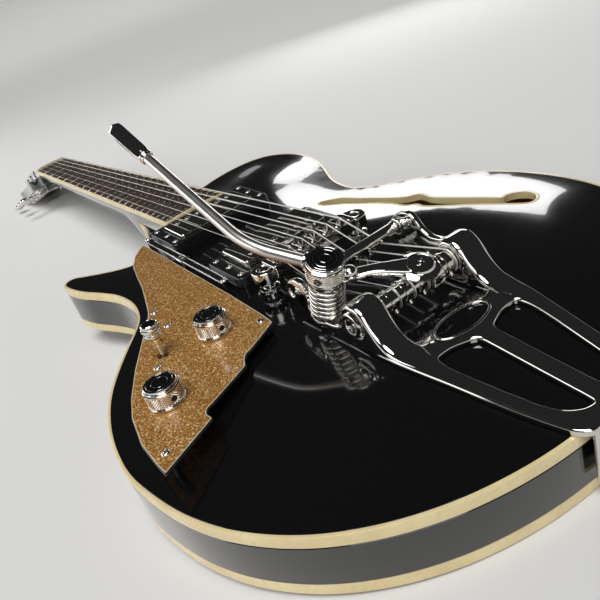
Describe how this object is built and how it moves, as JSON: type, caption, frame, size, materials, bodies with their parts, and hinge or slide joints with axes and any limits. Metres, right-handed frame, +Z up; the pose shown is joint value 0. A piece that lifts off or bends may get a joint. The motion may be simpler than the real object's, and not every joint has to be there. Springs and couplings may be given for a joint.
{
  "type": "semi-acoustic electric guitar",
  "caption": "Left-handed semi-acoustic electric guitar with a single cutaway, f-hole, two pickups, six-saddle bridge and a sprung vibrato tailpiece with a swivelling arm.",
  "frame": {"origin": "centre of the footprint, on the floor that the tail edge of the back and the end of the head rest on", "axes": "+X along the neck from the tail to the head, +Y to the control side, +Z up out of the top"},
  "size_m": [1.0558, 0.3506, 0.1744],
  "materials": {
    "gloss_black": "black lacquer polished to a mirror gloss over wood",
    "cream_plastic": "polished cream plastic binding",
    "dark_wood": "oiled dark brown wood with metal frets",
    "bone": "satin bone",
    "black_plastic": "smooth black plastic",
    "gold_ply": "gold sparkle face over pale plies",
    "string_wire": "nickel wound and plain steel wire",
    "spring_steel": "bright spring wire",
    "chrome_plate": "polished chrome plate"
  },
  "bodies": {
    "guitar": {"body_shell": "gloss_black", "body_top": "gloss_black", "top_binding": "cream_plastic", "back_binding": "cream_plastic", "f_hole_binding": "cream_plastic", "neck": "gloss_black", "fretboard": "dark_wood", "fretboard_binding": "cream_plastic", "nut": "bone", "tuner_plate_near": "chrome_plate", "tuner_plate_far": "chrome_plate", "string_1": "string_wire", "string_2": "string_wire", "string_3": "string_wire", "string_4": "string_wire", "string_5": "string_wire", "string_6": "string_wire", "neck_pickup_ring": "black_plastic", "neck_pickup": "chrome_plate", "bridge_pickup_ring": "black_plastic", "bridge_pickup": "chrome_plate", "pickguard": "gold_ply", "control_deck": "chrome_plate", "tremolo_frame": "chrome_plate", "axle_bearing_near": "chrome_plate", "axle_bearing_far": "chrome_plate", "tremolo_spring": "spring_steel", "output_jack": "chrome_plate", "strap_button_tail": "chrome_plate", "strap_button_shoulder": "chrome_plate"},
    "bridge": {"bridge": "chrome_plate"},
    "selector": {"switch_lever": "chrome_plate", "switch_tip": "chrome_plate"},
    "rocker": {"tremolo_axle": "chrome_plate", "rocker_lever": "chrome_plate"},
    "arm": {"arm_knob": "chrome_plate", "tremolo_arm": "chrome_plate"},
    "tension_bar": {"tension_bar": "chrome_plate"},
    "saddle_1": {"saddle_1": "chrome_plate"},
    "saddle_2": {"saddle_2": "chrome_plate"},
    "saddle_3": {"saddle_3": "chrome_plate"},
    "saddle_4": {"saddle_4": "chrome_plate"},
    "saddle_5": {"saddle_5": "chrome_plate"},
    "saddle_6": {"saddle_6": "chrome_plate"},
    "bridge_post_near": {"bridge_post_near": "chrome_plate"},
    "bridge_post_far": {"bridge_post_far": "chrome_plate"},
    "volume_knob": {"volume_knob": "chrome_plate"},
    "tone_knob": {"tone_knob": "chrome_plate"},
    "tuner_post_near_1": {"tuner_post_near_1": "chrome_plate"},
    "tuner_button_near_1": {"tuner_button_near_1": "chrome_plate"},
    "tuner_post_near_2": {"tuner_post_near_2": "chrome_plate"},
    "tuner_button_near_2": {"tuner_button_near_2": "chrome_plate"},
    "tuner_post_near_3": {"tuner_post_near_3": "chrome_plate"},
    "tuner_button_near_3": {"tuner_button_near_3": "chrome_plate"},
    "tuner_post_far_1": {"tuner_post_far_1": "chrome_plate"},
    "tuner_button_far_1": {"tuner_button_far_1": "chrome_plate"},
    "tuner_post_far_2": {"tuner_post_far_2": "chrome_plate"},
    "tuner_button_far_2": {"tuner_button_far_2": "chrome_plate"},
    "tuner_post_far_3": {"tuner_post_far_3": "chrome_plate"},
    "tuner_button_far_3": {"tuner_button_far_3": "chrome_plate"}
  },
  "joints": [
    {"name": "tremolo_rock", "type": "hinge", "parent": "guitar", "child": "rocker", "pos_m": [-0.39442, -0.00034, 0.06855], "axis": [0, 1, 0], "range_deg": [-4, 7], "stiffness_Nm_per_rad": 12, "deforming": ["tremolo_spring"]},
    {"name": "arm_swivel", "type": "hinge", "parent": "rocker", "child": "arm", "pos_m": [-0.37229, 0.03617, 0.09458], "axis": [-0.382, 0, 0.9241], "range_deg": [-45, 90]},
    {"name": "tension_bar_roll", "type": "hinge", "parent": "guitar", "child": "tension_bar", "pos_m": [-0.33654, -0.00034, 0.07254], "axis": [0, 1, 0], "continuous": true},
    {"name": "bridge_height", "type": "slide", "parent": "guitar", "child": "bridge", "axis": [-0.0429, 0, 0.9991], "range_m": [-0.003, 0]},
    {"name": "saddle_1_slide", "type": "slide", "parent": "bridge", "child": "saddle_1", "axis": [0.9991, 0, 0.0429], "range_m": [-0.001, 0.003]},
    {"name": "saddle_2_slide", "type": "slide", "parent": "bridge", "child": "saddle_2", "axis": [0.9991, 0, 0.0429], "range_m": [-0.001, 0.003]},
    {"name": "saddle_3_slide", "type": "slide", "parent": "bridge", "child": "saddle_3", "axis": [0.9991, 0, 0.0429], "range_m": [-0.001, 0.003]},
    {"name": "saddle_4_slide", "type": "slide", "parent": "bridge", "child": "saddle_4", "axis": [0.9991, 0, 0.0429], "range_m": [-0.001, 0.003]},
    {"name": "saddle_5_slide", "type": "slide", "parent": "bridge", "child": "saddle_5", "axis": [0.9991, 0, 0.0429], "range_m": [-0.001, 0.003]},
    {"name": "saddle_6_slide", "type": "slide", "parent": "bridge", "child": "saddle_6", "axis": [0.9991, 0, 0.0429], "range_m": [-0.001, 0.003]},
    {"name": "bridge_post_near_turn", "type": "hinge", "parent": "guitar", "child": "bridge_post_near", "pos_m": [-0.29502, 0.03716, 0.06131], "axis": [-0.0429, 0, 0.9991], "continuous": true},
    {"name": "bridge_post_far_turn", "type": "hinge", "parent": "guitar", "child": "bridge_post_far", "pos_m": [-0.29502, -0.03784, 0.06131], "axis": [-0.0429, 0, 0.9991], "continuous": true},
    {"name": "volume_knob_turn", "type": "hinge", "parent": "guitar", "child": "volume_knob", "pos_m": [-0.30902, 0.08686, 0.06571], "axis": [-0.0429, 0, 0.9991], "range_deg": [-150, 150]},
    {"name": "tone_knob_turn", "type": "hinge", "parent": "guitar", "child": "tone_knob", "pos_m": [-0.34369, 0.13686, 0.06422], "axis": [-0.0429, 0, 0.9991], "range_deg": [-150, 150]},
    {"name": "selector_tilt", "type": "hinge", "parent": "guitar", "child": "selector", "pos_m": [-0.29944, 0.11907, 0.05932], "axis": [0.5552, 0.8314, 0.0239], "range_deg": [-10, 10]},
    {"name": "tuner_button_near_1_turn", "type": "hinge", "parent": "guitar", "child": "tuner_button_near_1", "pos_m": [0.39064, 0.04367, 0.03152], "axis": [0, 1, 0], "continuous": true},
    {"name": "tuner_post_near_1_turn", "type": "hinge", "parent": "guitar", "child": "tuner_post_near_1", "pos_m": [0.39724, 0.02066, 0.05516], "axis": [0.2687, 0, 0.9632], "continuous": true},
    {"name": "tuner_button_near_2_turn", "type": "hinge", "parent": "guitar", "child": "tuner_button_near_2", "pos_m": [0.42917, 0.04367, 0.02077], "axis": [0, 1, 0], "continuous": true},
    {"name": "tuner_post_near_2_turn", "type": "hinge", "parent": "guitar", "child": "tuner_post_near_2", "pos_m": [0.43577, 0.02066, 0.04441], "axis": [0.2687, 0, 0.9632], "continuous": true},
    {"name": "tuner_button_near_3_turn", "type": "hinge", "parent": "guitar", "child": "tuner_button_near_3", "pos_m": [0.4677, 0.04367, 0.01002], "axis": [0, 1, 0], "continuous": true},
    {"name": "tuner_post_near_3_turn", "type": "hinge", "parent": "guitar", "child": "tuner_post_near_3", "pos_m": [0.4743, 0.02066, 0.03366], "axis": [0.2687, 0, 0.9632], "continuous": true},
    {"name": "tuner_button_far_1_turn", "type": "hinge", "parent": "guitar", "child": "tuner_button_far_1", "pos_m": [0.39064, -0.04433, 0.03152], "axis": [0, -1, 0], "continuous": true},
    {"name": "tuner_post_far_1_turn", "type": "hinge", "parent": "guitar", "child": "tuner_post_far_1", "pos_m": [0.39724, -0.02133, 0.05516], "axis": [0.2687, 0, 0.9632], "continuous": true},
    {"name": "tuner_button_far_2_turn", "type": "hinge", "parent": "guitar", "child": "tuner_button_far_2", "pos_m": [0.42917, -0.04433, 0.02077], "axis": [0, -1, 0], "continuous": true},
    {"name": "tuner_post_far_2_turn", "type": "hinge", "parent": "guitar", "child": "tuner_post_far_2", "pos_m": [0.43577, -0.02133, 0.04441], "axis": [0.2687, 0, 0.9632], "continuous": true},
    {"name": "tuner_button_far_3_turn", "type": "hinge", "parent": "guitar", "child": "tuner_button_far_3", "pos_m": [0.4677, -0.04433, 0.01002], "axis": [0, -1, 0], "continuous": true},
    {"name": "tuner_post_far_3_turn", "type": "hinge", "parent": "guitar", "child": "tuner_post_far_3", "pos_m": [0.4743, -0.02133, 0.03366], "axis": [0.2687, 0, 0.9632], "continuous": true}
  ],
  "couplings": [
    {"joint": "tuner_post_near_1_turn", "follows": "tuner_button_near_1_turn", "ratio": -0.07143},
    {"joint": "tuner_post_near_2_turn", "follows": "tuner_button_near_2_turn", "ratio": -0.07143},
    {"joint": "tuner_post_near_3_turn", "follows": "tuner_button_near_3_turn", "ratio": -0.07143},
    {"joint": "tuner_post_far_1_turn", "follows": "tuner_button_far_1_turn", "ratio": 0.07143},
    {"joint": "tuner_post_far_2_turn", "follows": "tuner_button_far_2_turn", "ratio": 0.07143},
    {"joint": "tuner_post_far_3_turn", "follows": "tuner_button_far_3_turn", "ratio": 0.07143}
  ]
}
